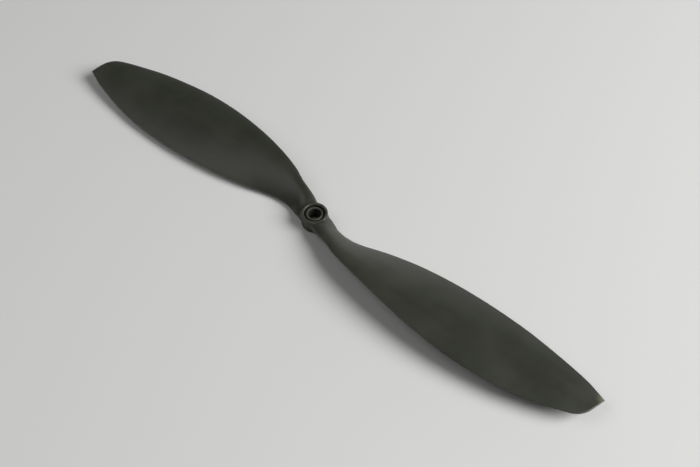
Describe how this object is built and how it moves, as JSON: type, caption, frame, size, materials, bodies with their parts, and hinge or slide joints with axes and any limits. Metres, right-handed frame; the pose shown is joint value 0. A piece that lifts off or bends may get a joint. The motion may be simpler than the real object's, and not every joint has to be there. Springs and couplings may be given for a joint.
{
  "type": "propeller",
  "caption": "Two-blade slow-flyer propeller with wide, thin, cambered blades, raked tips, a short barrel hub and a loose adapter ring in the hub's recess.",
  "frame": {"origin": "centre of the hub's rear face, on the shaft axis", "axes": "+Z along the shaft axis, forward, the way the propeller pulls; +X along the first blade; +Y towards that blade's trailing edge"},
  "size_m": [0.3048, 0.0426, 0.0123],
  "materials": {
    "blade_nylon": "moulded satin, dark olive grey",
    "ring_nylon": "moulded satin, grey"
  },
  "bodies": {
    "propeller": {"hub": "blade_nylon", "blade_1": "blade_nylon", "blade_2": "blade_nylon"},
    "ring": {"adapter_ring": "ring_nylon"}
  },
  "joints": [
    {"name": "ring_pull", "type": "slide", "parent": "propeller", "child": "ring", "axis": [0, 0, 1], "range_m": [0, 0.012]}
  ]
}
